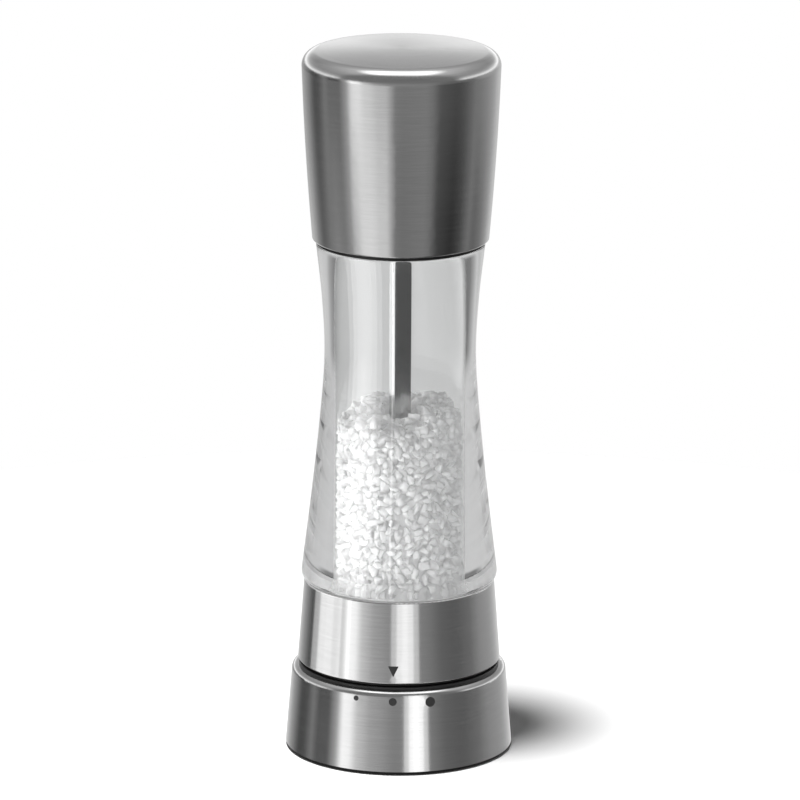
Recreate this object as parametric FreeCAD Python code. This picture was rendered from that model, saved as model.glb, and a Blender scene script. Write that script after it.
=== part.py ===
"""Twist-top grinding mill for salt or pepper.

A brushed steel cap turns a square rod that runs down through a clear waisted hopper to a
conical ceramic burr in the base.  The base ring turns on the grinder housing between a fine
and a coarse mark, and three cam pins change that turn into a small lift of the burr.

Millimetres, +Z up.  The origin is the centre of the base on the surface that the mill stands
on, and the pointer and the grind marks face -Y.  Every sub-part is written to its own STEP.
"""
import FreeCAD, Part
import math
import os

Vector = FreeCAD.Vector
Z_AXIS = Vector(0, 0, 1)
ORIGIN = Vector(0, 0, 0)

# ---------------------------------------------------------------- driving dimensions
# Outer form, from the surface upwards
foot_gap = 1.0                 # the base shell hangs this far above the surface
base_height = 22.5             # top of the base shell
base_foot_radius = 30.2
base_shoulder_radius = 28.45
base_shoulder_rounding = 1.5
groove_height = 1.8            # dark groove between the base and the collar
collar_height = 21.8
collar_foot_radius = 26.95
collar_top_radius = 25.3
seal_height = 0.5
hopper_height = 91.2           # from the hopper's shoulder to its rim
hopper_foot_radius = 26.05
hopper_lip_height = 1.9        # height of the widest point above the shoulder
waist_radius = 20.05
waist_rise = 60.6              # height of the waist above the shoulder
hopper_rim_radius = 22.3
rim_rounding = 0.35
glide_gap = 0.12               # running gap between the hopper rim and the cap's glide ring
cap_joint_height = 1.1         # dark line between the hopper and the cap
cap_height = 51.1
cap_foot_radius = 23.3
cap_head_radius = 26.3
cap_rounding = 3.8
cap_crown = 1.1                # rise of the domed top
cap_bow = 0.36                 # how far the side swells at half height

# Walls
shell_wall = 0.8               # drawn steel shells
hopper_bore_foot = 18.0
hopper_bore_rim = 17.1
neck_wall = 3.4                # hopper neck inside the collar
plastic_wall = 2.6

# Grinder
burr_radius = 16.1             # outside of the fixed burr
burr_height = 11.0
burr_mouth = 13.8              # bore at the top of the fixed burr
burr_throat = 11.3             # narrowest bore
burr_exit = 12.7               # bore at the bottom
throat_rise = 4.5              # throat above the bottom of the fixed burr
grind_gap = 0.5                # radial gap between the burrs at the middle setting
burr_slope = 0.302             # radius lost for each millimetre of height on the turning burr
outlet_depth = 5.2             # open recess under the housing stem
outlet_teeth = 30
feed_teeth = 15
lead_flutes = 9

# Drive
rod_side = 4.5
rod_turn = 22.0                # degrees that the square rod is turned at rest
rod_into_cap = 33.0            # rod above the cap's foot
journal_radius = 2.2
hub_radius = 6.5
spring_wire = 0.8
spring_radius = 4.5
spring_turns = 5
spring_flats = 12              # sides of the drawn wire

# Base ring
core_plate = 2.0               # top plate of the core
core_sleeve = 2.1              # wall of its sleeve on the housing stem
core_skirt = 3.2               # wall behind the base shell
core_rib = 1.6
cover_rise = 1.2               # underside of the cover above the shell's edge
cover_thickness = 1.8
cover_bore_gap = 0.8           # between the cover and the stem
tab_width = 5.0
tab_height = 4.0
tab_thickness = 1.6
tab_hook = 0.6                 # how far the hook stands out
foot_ring_width = 2.8
foot_ring_inset = 0.6
snap_rise = 0.8                # retaining ring above the bottom of the stem
snap_thickness = 0.9
snap_depth = 0.9               # its groove in the stem
snap_proud = 1.1

# Base ring adjustment
mark_step = 20.0               # degrees between neighbouring grind marks
lift_per_radian = 1.0          # burr lift for each radian of the base ring
cam_pin_radius = 1.1
mark_radii = (0.70, 1.05, 1.32)
mark_drop = 1.5                # tops of the grind marks below the top of the base
pointer_width = 2.8
pointer_height = 2.9
pointer_rise = 1.9             # tip of the pointer above the foot of the collar
mark_depth = 0.25
mark_proud = 0.03
detent_drop = 5.9              # middle of the detent leaf below the top of the base
detent_leaf = 3.0              # height of the leaf
detent_angle = 90.0            # the leaf is at the back

# Fixings in the housing
carrier_thickness = 4.0
carrier_rim = 2.0
carrier_hub_wall = 3.0         # hub round the rod's journal
pin_grip = 3.6                 # length of a cam pin inside the carrier
washer_thickness = 0.6
retainer_thickness = 1.8
spider_thickness = 2.0
spider_arm = 3.2
screw_radius = 0.95
screw_length = 7.0             # under its head, where the flange leaves room for it
screw_head_radius = 2.05
screw_head_height = 1.05
screw_inset = 2.5              # screw circle outside the top of the funnel
boss_radius = 2.3
clip_thickness = 0.7
upper_clip_groove = 0.3        # depth of each groove in the journal
lower_clip_groove = 0.5
upper_clip_radius = 4.7
lower_clip_radius = 4.2

# Cap inside
core_band_height = 12.0        # band of the cap core that fills the foot of the shell
core_band_wall = 2.2
core_rib_height = 16.0
core_floor = 3.0
socket_wall = 2.8
clip_wall = 0.5                # spring clip in the square socket
clip_rise = 22.0               # foot of the clip above the foot of the cap
clip_length = 8.0

# Clearances
running = 0.08                 # radial, shafts and sleeves that turn
sliding = 0.10                 # each side of a square that slides
free = 0.30                    # between parts that move past each other
pin_play = 0.15                # round a cam pin in its slots
end_play = 0.10                # along the rod, at the bush and the turning burr
detent_play = 0.20             # above and below the detent leaf in its pocket
past = 1.0                     # how far a cutting shape runs past the face that it cuts
overlap = 0.5                  # how far joined shapes of one piece run into each other

# Contents
salt_gap = 0.15
salt_level = 45.5              # height of the salt above the hopper shoulder, at the middle
salt_fall = 3.0                # drop of its surface from the middle to the wall

# ---------------------------------------------------------------- levels worked out
collar_foot = base_height + groove_height
collar_top = collar_foot + collar_height
shoulder = collar_top + seal_height
rim = shoulder + hopper_height
cap_foot = rim + cap_joint_height
cap_top = cap_foot + cap_height

mark_top = base_height - mark_drop
pointer_tip = collar_foot + pointer_rise
detent_level = base_height - detent_drop

stem_foot = outlet_depth
stem_bore = burr_radius + 0.1
stem_radius = stem_bore + plastic_wall
carrier_foot = stem_foot + 2.2
pin_level = carrier_foot + carrier_thickness / 2
carrier_hub_top = carrier_foot + carrier_thickness + 0.8
thrust_level = carrier_hub_top + washer_thickness
retainer_foot = thrust_level + 0.4
burr_foot = retainer_foot + retainer_thickness
burr_top = burr_foot + burr_height
ledge_top = burr_top + 1.6
spider_level = ledge_top + 3.8
neck_foot = spider_level + spider_thickness
housing_top = collar_top - shell_wall
flange_foot = base_height + groove_height - 0.7
flange_top = flange_foot + plastic_wall
slip_ring_height = flange_foot - free - base_height
screw_foot = max(neck_foot - 1 - screw_length, flange_foot + 1.2)

neck_radius = hopper_bore_foot + neck_wall
funnel_top_radius = hopper_bore_foot - 0.8
cup_radius = collar_top_radius - shell_wall - 0.3
flange_radius = collar_foot_radius - shell_wall - 0.15
slip_ring_radius = flange_radius + 0.65
sleeve_bore = stem_radius + running
sleeve_radius = sleeve_bore + core_sleeve
cover_foot = foot_gap + cover_rise
cover_top = cover_foot + cover_thickness
skirt_foot = cover_top + 0.2
skirt_bore = base_shoulder_radius - shell_wall - core_skirt
plate_top = base_height - shell_wall
snap_foot = stem_foot + snap_rise
pin_travel = lift_per_radian * math.radians(mark_step)
pin_slot_radius = cam_pin_radius + pin_play
carrier_radius = stem_bore - free
screw_circle = funnel_top_radius + screw_inset
screw_hole_radius = screw_radius + 0.2

rod_foot = stem_foot + 0.4
rod_top = cap_foot + rod_into_cap
rod_half_diagonal = rod_side / math.sqrt(2)
spider_hub_radius = hub_radius + 0.5
spider_hub_top = spider_level + 4.8
bush_radius = rod_half_diagonal + 1.3
bush_flange_radius = bush_radius + 1.5
bush_flange_foot = spider_hub_top + end_play
bush_flange_top = bush_flange_foot + 1.0
rotor_foot = thrust_level + end_play
rotor_flange = 1.7
rotor_top = burr_top + 1.0
pocket_foot = rotor_foot + 5.6
pocket_radius = spring_radius + spring_wire / 2 + 0.5
upper_clip_top = spider_level - 0.1
upper_clip_foot = upper_clip_top - clip_thickness
spring_top = upper_clip_foot - washer_thickness
lower_clip_foot = rod_foot + 0.3
throat_level = burr_foot + throat_rise
hub_key_width = 1.6
hub_key_radius = hub_radius + 0.9
socket_side = rod_side + 2 * sliding
clip_side = rod_side + 1.5
clip_foot = cap_foot + clip_rise

arm_angles = (90.0, 210.0, 330.0)
screw_angles = (30.0, 150.0, 270.0)

os.makedirs("parts", exist_ok=True)


# ---------------------------------------------------------------- shape helpers
def point(radius, height):
    return Vector(radius, 0, height)


def outline(start, *steps):
    """Closed wire in the XZ plane.  A step is (r, z) for a straight run, a pair of points
    for an arc through the first to the second, or a list of points for a smooth curve."""
    edges = []
    here = start
    for step in steps + (start,):
        if isinstance(step, list):
            curve = Part.BSplineCurve()
            curve.interpolate([point(*here)] + [point(*p) for p in step])
            edges.append(curve.toShape())
            here = step[-1]
        elif isinstance(step[0], tuple):
            middle, end = step
            edges.append(Part.Arc(point(*here), point(*middle), point(*end)).toShape())
            here = end
        elif step != here:
            edges.append(Part.LineSegment(point(*here), point(*step)).toShape())
            here = step
    return Part.Wire(edges)


def lathe(start, *steps):
    """Solid of revolution about Z from a closed outline."""
    return Part.Face(outline(start, *steps)).revolve(ORIGIN, Z_AXIS, 360)


def bowed(low, high, bulge):
    """Arc step from low to high whose middle stands out by bulge."""
    middle = ((low[0] + high[0]) / 2 + bulge, (low[1] + high[1]) / 2)
    return (middle, high)


def ring(inner, outer, foot, top):
    if inner <= 0:
        return Part.makeCylinder(outer, top - foot, point(0, foot))
    return lathe((inner, foot), (outer, foot), (outer, top), (inner, top))


def turned(shape, angle):
    """Copy turned about Z by angle degrees."""
    copy = shape.copy()
    copy.rotate(ORIGIN, Z_AXIS, angle)
    return copy


def turned_point(radius, level, angle):
    return FreeCAD.Rotation(Z_AXIS, angle).multVec(point(radius, level))


def upright_rods(radius, circle, foot, length, angles):
    """Round rods parallel to Z, on a circle about it."""
    return [Part.makeCylinder(radius, length, turned_point(circle, foot, a)) for a in angles]


def sector(inner, outer, foot, top, middle, half_angle):
    """Part of a ring, half_angle degrees to each side of the middle direction."""
    face = Part.Face(outline((inner, foot), (outer, foot), (outer, top), (inner, top)))
    return turned(face.revolve(ORIGIN, Z_AXIS, 2 * half_angle), middle - half_angle)


def square_bar(side, foot, top):
    bar = Part.makeBox(side, side, top - foot, Vector(-side / 2, -side / 2, foot))
    return turned(bar, rod_turn)


def radial_pin(radius, inner, outer, level, angle):
    """Cylinder that points outwards along a radius; angle 0 is +X."""
    pin = Part.makeCylinder(radius, outer - inner, Vector(inner, 0, level), Vector(1, 0, 0))
    return turned(pin, angle)


def radial_block(width, inner, outer, foot, top, angle):
    """Box with its length along a radius; angle 0 is +X."""
    block = Part.makeBox(outer - inner, width, top - foot, Vector(inner, -width / 2, foot))
    return turned(block, angle)


def round_circle(shape, radius, level, rounding):
    """Fillets the full circles of that radius and height."""
    found = []
    for edge in shape.Edges:
        if edge.Degenerated or not isinstance(edge.Curve, Part.Circle):
            continue
        curve = edge.Curve
        if abs(curve.Radius - radius) < 0.02 and abs(curve.Center.z - level) < 0.02:
            found.append(edge)
    return shape.makeFillet(rounding, found)


def joined(shapes):
    body = shapes[0]
    if len(shapes) > 1:
        body = body.fuse(shapes[1:])
    return body.removeSplitter()


def slanted_rods(radius, low, high, skew, count):
    """Ring of round rods from the point low to the point high, each turned by skew degrees
    between its ends, which cut the teeth of a conical burr."""
    start = point(*low)
    end = FreeCAD.Rotation(Z_AXIS, skew).multVec(point(*high))
    rod = Part.makeCylinder(radius, (end - start).Length, start, end - start)
    return [turned(rod, i * 360.0 / count) for i in range(count)]


def write(name, shape):
    solids = shape.Solids
    if not solids or not shape.isValid():
        raise ValueError(name + " is not a valid solid")
    if len(solids) == 1:
        shape = solids[0]
    shape.exportStep("parts/" + name + ".step")
    print("%-18s %2d solid %9.1f mm3" % (name, len(solids), shape.Volume))


# ---------------------------------------------------------------- base ring
def base_blank(offset):
    """Outer form of the base, offset outwards from the steel surface."""
    low = (base_foot_radius + offset, foot_gap)
    high = (base_shoulder_radius + offset, base_height + offset)
    blank = lathe((0, foot_gap), low, high, (0, base_height + offset))
    return round_circle(blank, high[0], high[1], base_shoulder_rounding + offset)


def grind_mark_pins():
    """Round bars along the radius where the three grind marks sit, fine to coarse."""
    pins = []
    for step, radius in zip((-1, 0, 1), mark_radii):
        pins.append(radial_pin(radius, base_shoulder_radius - 3, base_foot_radius + 3,
                               mark_top - radius, -90.0 + step * mark_step))
    return pins


def base_shell():
    inside = base_blank(-shell_wall).fuse(ring(0, base_foot_radius - shell_wall, 0, foot_gap + 0.2))
    shell = base_blank(0).cut(inside)
    shell = shell.cut(ring(0, sleeve_radius + 1.0, plate_top - past, base_height + past))
    seats = [pin.cut(base_blank(-mark_depth)) for pin in grind_mark_pins()]
    return shell.cut(seats)


def grind_marks():
    band = base_blank(mark_proud).cut(base_blank(-mark_depth))
    return Part.makeCompound([pin.common(band).Solids[0] for pin in grind_mark_pins()])


def base_core():
    """Moulding inside the base shell: a sleeve on the stem, a skirt, and ribs between them."""
    sleeve = ring(sleeve_bore, sleeve_radius, carrier_foot - free, plate_top)
    skirt = ring(skirt_bore, base_foot_radius, skirt_foot, plate_top)
    plate = ring(sleeve_bore, base_foot_radius, plate_top - core_plate, plate_top)
    ribs = [radial_block(core_rib, sleeve_radius - overlap, skirt_bore + overlap, skirt_foot + tab_height,
                         plate_top, a) for a in range(0, 360, 30)]
    core = joined([sleeve, skirt, plate] + ribs).common(base_blank(-shell_wall))
    slots = [cam_slot(angle) for angle in arm_angles]
    # detent track with a deeper notch at each grind mark
    track_height = detent_leaf + 3 * detent_play
    track_foot = detent_level - track_height / 2
    track = ring(sleeve_bore - past, sleeve_bore + 0.35, track_foot, track_foot + track_height)
    notches = upright_rods(0.7, sleeve_bore + 0.2, track_foot, track_height,
                           [detent_angle + step * mark_step for step in (-1, 0, 1)])
    return core.cut(slots + [track] + notches)


def cam_slot(angle):
    """Slot through the sleeve that climbs as the base turns, with room for one pin."""
    middle = (sleeve_bore + sleeve_radius) / 2
    sweep = math.radians(mark_step)
    run = middle * math.sin(sweep)
    half_length = math.hypot(run, pin_travel) + 0.25
    # at the ends of the sweep the pin enters the sleeve nearer to the axis, seen along the slot
    inner = (sleeve_bore - 1) * math.cos(sweep) - 1
    depth = sleeve_radius + past - inner
    slot = Part.makeBox(depth, 2 * half_length, 2 * pin_slot_radius,
                        Vector(inner, -half_length, pin_level - pin_slot_radius))
    ends = [Part.makeCylinder(pin_slot_radius, depth, Vector(inner, side * half_length, pin_level),
                              Vector(1, 0, 0)) for side in (-1, 1)]
    slot = slot.fuse(ends)
    # the ring turning forwards brings the slot's rear to the pin, which has to stand higher
    slot.rotate(Vector(0, 0, pin_level), Vector(1, 0, 0), -math.degrees(math.atan2(pin_travel, run)))
    return turned(slot, angle)


def base_cover():
    """Ring that closes the base from below, with three hooked tabs inside the core."""
    tab_foot = sleeve_radius + 0.6
    tab_top = cover_top + tab_height
    plate = ring(stem_radius + cover_bore_gap, base_foot_radius, cover_foot, cover_top)
    tabs = [radial_block(tab_width, tab_foot, tab_foot + tab_thickness, cover_foot, tab_top, a)
            for a in screw_angles]
    hooks = [radial_block(tab_width, tab_foot, tab_foot + tab_thickness + tab_hook, tab_top - core_rib * 0.75,
                          tab_top, a) for a in screw_angles]
    space = base_blank(-shell_wall).fuse(ring(0, base_foot_radius - shell_wall, 0, cover_foot))
    skirt_seat = ring(skirt_bore, base_foot_radius, skirt_foot, base_height)
    return joined([plate] + tabs + hooks).common(space).cut(skirt_seat)


def foot_ring():
    """Soft ring that the mill stands on, stepped up into the base shell."""
    outer = base_foot_radius - foot_ring_inset
    inner = outer - foot_ring_width
    step_foot = foot_gap - 0.1
    tread = round_circle(ring(inner, outer, 0, step_foot), outer, 0, 0.3)
    return joined([tread, ring(inner, base_foot_radius - shell_wall - 0.1, step_foot, cover_foot)])


def slip_ring():
    top = base_height + slip_ring_height
    blank = ring(sleeve_bore, slip_ring_radius, base_height, top)
    return round_circle(blank, slip_ring_radius, top, 0.2)


# ---------------------------------------------------------------- burr lift
def lift_carrier():
    """Three-armed bridge under the rod, which the cam pins raise and lower."""
    top = carrier_foot + carrier_thickness
    rim_ring = ring(carrier_radius - carrier_rim, carrier_radius, carrier_foot, top)
    hub = ring(0, journal_radius + carrier_hub_wall, carrier_foot, carrier_hub_top)
    arms = [radial_block(4.2, 1.0, carrier_radius - carrier_rim / 2, carrier_foot, top, a)
            for a in arm_angles]
    bores = [radial_pin(cam_pin_radius, carrier_radius - pin_grip, carrier_radius + past, pin_level, a)
             for a in arm_angles]
    journal = ring(0, journal_radius + running, carrier_foot - past, carrier_hub_top + past)
    return joined([rim_ring, hub] + arms).cut(bores + [journal])


def cam_pins():
    pins = [radial_pin(cam_pin_radius, carrier_radius - pin_grip, sleeve_radius - 0.4, pin_level, a)
            for a in arm_angles]
    return Part.makeCompound(pins)


def thrust_washer():
    return ring(journal_radius + running, journal_radius + carrier_hub_wall, carrier_hub_top, thrust_level)


# ---------------------------------------------------------------- fixed body
def collar_blank(offset):
    low = (collar_foot_radius + offset, collar_foot)
    high = (collar_top_radius + offset, collar_top)
    return lathe((0, collar_foot), low, high, (0, collar_top))


def pointer_prism():
    half = pointer_width / 2
    front = -(collar_foot_radius + 2)
    corners = [Vector(0, front, pointer_tip), Vector(half, front, pointer_tip + pointer_height),
               Vector(-half, front, pointer_tip + pointer_height)]
    face = Part.Face(Part.makePolygon(corners + corners[:1]))
    return face.extrude(Vector(0, 5, 0))


def collar_shell():
    blank = round_circle(collar_blank(0), collar_top_radius, collar_top, 0.35)
    blank = round_circle(blank, collar_foot_radius, collar_foot, 0.25)
    inside = collar_blank(-shell_wall).common(ring(0, collar_foot_radius, 0, collar_top - shell_wall))
    shell = blank.cut([inside, ring(0, neck_radius + 0.4, collar_foot, collar_top + 1)])
    return shell.cut(pointer_prism().cut(collar_blank(-mark_depth)))


def pointer_mark():
    band = collar_blank(mark_proud).cut(collar_blank(-mark_depth))
    return pointer_prism().common(band)


def grinder_housing():
    """Stem, floor flange and cup in one moulding, with the funnel that feeds the burrs."""
    body = lathe((stem_bore, stem_foot), (stem_radius, stem_foot), (stem_radius, flange_foot),
                 (flange_radius, flange_foot), (flange_radius, flange_top),
                 (cup_radius, flange_top + 0.5), (cup_radius, housing_top),
                 (neck_radius + 0.1, housing_top), (neck_radius + 0.1, spider_level),
                 (funnel_top_radius, spider_level), (burr_mouth + 0.6, ledge_top),
                 (burr_mouth + 0.6, burr_top), (stem_bore, burr_top))
    pocket = ring(funnel_top_radius + 1.6, neck_radius + 0.1, flange_top, spider_level + past)
    boss_foot = flange_foot + 0.5
    bosses = upright_rods(boss_radius, screw_circle, boss_foot, spider_level - boss_foot, screw_angles)
    body = body.cut(pocket).fuse(bosses)
    body = body.cut(ring(0, funnel_top_radius, spider_level - 0.6, spider_level + past))
    guides = []
    for a in arm_angles:
        top = pin_level + pin_travel + 0.2
        guides.append(radial_block(2 * pin_slot_radius, stem_bore - past, stem_radius + past,
                                   stem_foot - past, top, a))
        guides.append(radial_pin(pin_slot_radius, stem_bore - past, stem_radius + past, top, a))
    groove = ring(stem_radius - snap_depth, stem_radius + past, snap_foot, snap_foot + snap_thickness)
    pocket_half = detent_leaf / 2 + detent_play
    detent_pocket = sector(stem_radius - 0.75, stem_radius + past, detent_level - pocket_half,
                           detent_level + pocket_half, detent_angle, 24)
    hole_foot = screw_foot - 0.5
    screw_holes = upright_rods(screw_radius, screw_circle, hole_foot, spider_level + 0.1 - hole_foot,
                               screw_angles)
    return body.cut(guides + [groove, detent_pocket] + screw_holes)


def snap_ring():
    """Retaining ring under the base core's sleeve, open at the front."""
    inner = stem_radius - snap_depth
    blank = ring(inner, stem_radius + snap_proud, snap_foot, snap_foot + snap_thickness)
    blank = blank.cut(radial_block(4.0, 0, stem_radius + 3, snap_foot - past, snap_foot + 2, -90))
    ears = upright_rods(1.5, stem_radius + 0.2, snap_foot, snap_thickness, (-99, -81))
    ears = [ear.cut(ring(0, inner, 0, base_height)) for ear in ears]
    return blank.fuse(ears).removeSplitter()


def detent_spring():
    """Steel leaf let into the stem, with a bump that clicks in the base core's notches."""
    foot = detent_level - detent_leaf / 2
    leaf = sector(stem_radius - 0.72, stem_radius - 0.42, foot, foot + detent_leaf, detent_angle, 22)
    bump = Part.makeCylinder(0.75, detent_leaf, turned_point(stem_radius - 0.45, foot, detent_angle))
    return leaf.fuse(bump.cut(ring(0, stem_radius - 0.6, 0, base_height))).removeSplitter()


def outer_burr():
    """Fixed burr: coarse teeth lead in from the top, and fine ones grind below the throat."""
    blank = lathe((burr_exit, burr_foot), (burr_radius, burr_foot), (burr_radius, burr_top),
                  (burr_mouth, burr_top), (burr_throat, throat_level))
    fine = slanted_rods(0.55, (burr_exit + 0.25, burr_foot - 0.6), (burr_throat + 0.25, throat_level),
                        -12, outlet_teeth)
    coarse = slanted_rods(1.0, (burr_throat + 0.35, throat_level), (burr_mouth + 0.7, burr_top + 1),
                          14, feed_teeth)
    keys = [radial_pin(0.8, burr_radius - overlap, burr_radius + past, burr_foot, a) for a in screw_angles]
    return blank.cut(fine + coarse + keys)


def burr_retainer():
    """Ring pressed into the stem under the fixed burr, with three lugs that stop it turning."""
    blank = ring(burr_exit + 0.7, stem_bore, retainer_foot, burr_foot)
    lugs = [radial_pin(0.75, burr_radius - 0.45, stem_bore - 0.05, burr_foot, a) for a in screw_angles]
    return joined([blank] + lugs)


def shaft_spider():
    """Three arms across the funnel that hold the bush of the rod."""
    arm_foot = spider_level + 0.1
    rim_ring = ring(funnel_top_radius + 0.2, neck_radius, spider_level, neck_foot)
    hub = ring(bush_radius + running, spider_hub_radius, arm_foot, spider_hub_top)
    arms = []
    for a in screw_angles:
        arm = radial_block(spider_arm, spider_hub_radius - 0.6, funnel_top_radius + 1, arm_foot,
                           spider_level + 3.4, a)
        inside_bore = arm.common(ring(0, hopper_bore_foot - 0.1, 0, rim))
        arms.append(inside_bore.fuse(arm.common(ring(0, neck_radius, 0, neck_foot))))
    sink = screw_head_height + 0.05
    seats = [Part.makeCone(screw_hole_radius, screw_head_radius + 0.05, sink,
                           turned_point(screw_circle, neck_foot - sink, a)) for a in screw_angles]
    holes = upright_rods(screw_hole_radius, screw_circle, spider_level - past, 4, screw_angles)
    return joined([rim_ring, hub] + arms).cut(seats + holes)


def spider_screws():
    screws = []
    for a in screw_angles:
        head_foot = neck_foot - screw_head_height - 0.03
        head = Part.makeCone(screw_radius + 0.15, screw_head_radius, screw_head_height,
                             turned_point(screw_circle, head_foot, a))
        shank = upright_rods(screw_radius, screw_circle, screw_foot, neck_foot - 1 - screw_foot, [a])[0]
        slot = radial_block(0.5, screw_circle - 1.1, screw_circle + 1.1, neck_foot - 0.6, neck_foot + past, a)
        screws.append(head.fuse(shank).cut(slot).removeSplitter())
    return Part.makeCompound([screw.Solids[0] for screw in screws])


def hopper_seal():
    return ring(neck_radius + 0.05, collar_top_radius - 0.5, collar_top, shoulder)


def hopper_outer():
    """Smooth waisted outline from the lip up to the rim."""
    low = (hopper_foot_radius, shoulder + hopper_lip_height)
    flare = hopper_foot_radius - waist_radius
    return low, [
        (waist_radius + 0.575 * flare, shoulder + 0.372 * waist_rise),
        (waist_radius + 0.2117 * flare, shoulder + 0.706 * waist_rise),
        (waist_radius, shoulder + waist_rise),
        ((waist_radius + hopper_rim_radius) / 2 - 0.47, (shoulder + waist_rise + rim) / 2),
        (hopper_rim_radius, rim),
    ]


def hopper_body():
    low, curve = hopper_outer()
    edge = (hopper_foot_radius - 0.75, shoulder)
    body = lathe((hopper_bore_foot, neck_foot), (neck_radius, neck_foot), (neck_radius, shoulder), edge,
                 ((hopper_foot_radius - 0.22, shoulder + 0.55), low), curve,
                 (hopper_bore_rim, rim), (hopper_bore_foot, shoulder))
    body = round_circle(body, hopper_rim_radius, rim, rim_rounding)
    return round_circle(body, hopper_bore_rim, rim, rim_rounding)


def bore_at(level):
    share = (level - shoulder) / (rim - shoulder)
    return hopper_bore_foot + (hopper_bore_rim - hopper_bore_foot) * max(0.0, share)


def salt_fill():
    """Loose crystals as one plain solid with a well round the rod."""
    foot = bush_flange_top + free
    edge_level = shoulder + salt_level - salt_fall
    well = rod_half_diagonal + free
    return lathe((well, foot), (hopper_bore_foot - salt_gap, foot), (hopper_bore_foot - salt_gap, shoulder),
                 (bore_at(edge_level) - salt_gap, edge_level), (well, shoulder + salt_level))


# ---------------------------------------------------------------- drive
def drive_rod():
    square_foot = thrust_level + 0.6
    tip_height = 1.0
    tip = Part.makeCone(rod_half_diagonal + 0.1, rod_half_diagonal - 0.9, tip_height,
                        point(0, rod_top - tip_height))
    rod = square_bar(rod_side, square_foot, rod_top)
    rod = rod.common(ring(0, 2 * rod_side, 0, rod_top - tip_height).fuse(tip))
    rod = rod.fuse(ring(0, journal_radius, rod_foot, square_foot + 0.2)).removeSplitter()
    lower_groove = ring(journal_radius - lower_clip_groove, journal_radius + past, lower_clip_foot,
                        lower_clip_foot + clip_thickness)
    upper_groove = ring(journal_radius - upper_clip_groove, 2 * rod_side, upper_clip_foot, upper_clip_top)
    return rod.cut([lower_groove, upper_groove])


def open_clip(inner, outer, foot, angle):
    """E-shaped clip that snaps sideways on to a groove."""
    clip = ring(inner, outer, foot, foot + clip_thickness)
    clip = clip.cut(radial_block(2 * inner - 0.4, 0, outer + past, foot - past, foot + 2, angle))
    windows = [radial_block(1.2, inner - overlap, inner + 0.8, foot - past, foot + 2, angle + turn)
               for turn in (115, 245)]
    return clip.cut(windows)


def upper_clip():
    return open_clip(journal_radius - upper_clip_groove, upper_clip_radius, upper_clip_foot, 40)


def lower_clip():
    return open_clip(journal_radius - lower_clip_groove, lower_clip_radius, lower_clip_foot, -60)


def shaft_bush():
    body = ring(0, bush_radius, spider_level + 0.2, bush_flange_foot)
    flange = ring(0, bush_flange_radius, bush_flange_foot, bush_flange_top)
    return joined([body, flange]).cut(square_bar(rod_side, 0, rod_top))


def spring_washer():
    return ring(rod_half_diagonal + 0.06, pocket_radius - 0.1, spring_top, upper_clip_foot)


# ---------------------------------------------------------------- turning burr
def hub_keys(foot):
    return [radial_block(hub_key_width, hub_radius - overlap, hub_key_radius, foot, burr_top, a)
            for a in (0, 180)]


def rotor_hub():
    """Hub on the square rod, with the spring's pocket and the flange that carries the burr."""
    hub = joined([ring(0, hub_radius, rotor_foot, rotor_top),
                  ring(0, hub_radius + 2.6, rotor_foot, rotor_foot + rotor_flange)])
    hub = hub.fuse(hub_keys(rotor_foot)).removeSplitter()
    pocket = ring(0, pocket_radius, pocket_foot, rotor_top + past)
    return hub.cut([pocket, square_bar(socket_side, 0, rod_top)])


def rotor_radius(level):
    """Outside of the turning burr, set by the gap at the fixed burr's throat."""
    return burr_throat - grind_gap - burr_slope * (level - throat_level)


def inner_burr():
    foot = rotor_foot + rotor_flange
    top = burr_top + 0.4
    blank = lathe((hub_radius, foot), (rotor_radius(foot), foot), (rotor_radius(top), top), (hub_radius, top))
    fine = slanted_rods(0.5, (rotor_radius(foot) + 0.2, foot - 0.4),
                        (rotor_radius(throat_level) + 0.2, throat_level), 12, outlet_teeth)
    lead = slanted_rods(1.5, (rotor_radius(throat_level) + 0.9, throat_level - 0.8),
                        (rotor_radius(top) + 0.2, top + 1), -38, lead_flutes)
    return blank.cut(fine + lead + hub_keys(foot - past))


def burr_spring():
    """Compression spring between the hub's pocket and the washer under the upper clip."""
    foot = pocket_foot + spring_wire / 2 + 0.05
    top = spring_top - spring_wire / 2 - 0.05
    helix = Part.makeHelix((top - foot) / spring_turns, top - foot, spring_radius)
    helix.translate(Vector(0, 0, foot))
    corners = []
    for i in range(spring_flats):
        angle = 2 * math.pi * (i + 0.5) / spring_flats
        corners.append(point(spring_radius + spring_wire / 2 * math.cos(angle),
                             foot + spring_wire / 2 * math.sin(angle)))
    section = Part.makePolygon(corners + corners[:1])
    return Part.Wire(helix.Edges).makePipeShell([section], True, True)


# ---------------------------------------------------------------- cap
def cap_blank(offset):
    low = (cap_foot_radius + offset, cap_foot)
    high = (cap_head_radius + offset, cap_top - cap_crown + offset)
    crown = ((cap_head_radius * 0.55, cap_top + offset - cap_crown * 0.3), (0, cap_top + offset))
    blank = lathe((0, cap_foot), low, bowed(low, high, cap_bow), crown)
    return round_circle(blank, high[0], high[1], cap_rounding + offset)


def cap_shell():
    blank = round_circle(cap_blank(0), cap_foot_radius, cap_foot, 0.45)
    return blank.cut(cap_blank(-shell_wall))


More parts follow.
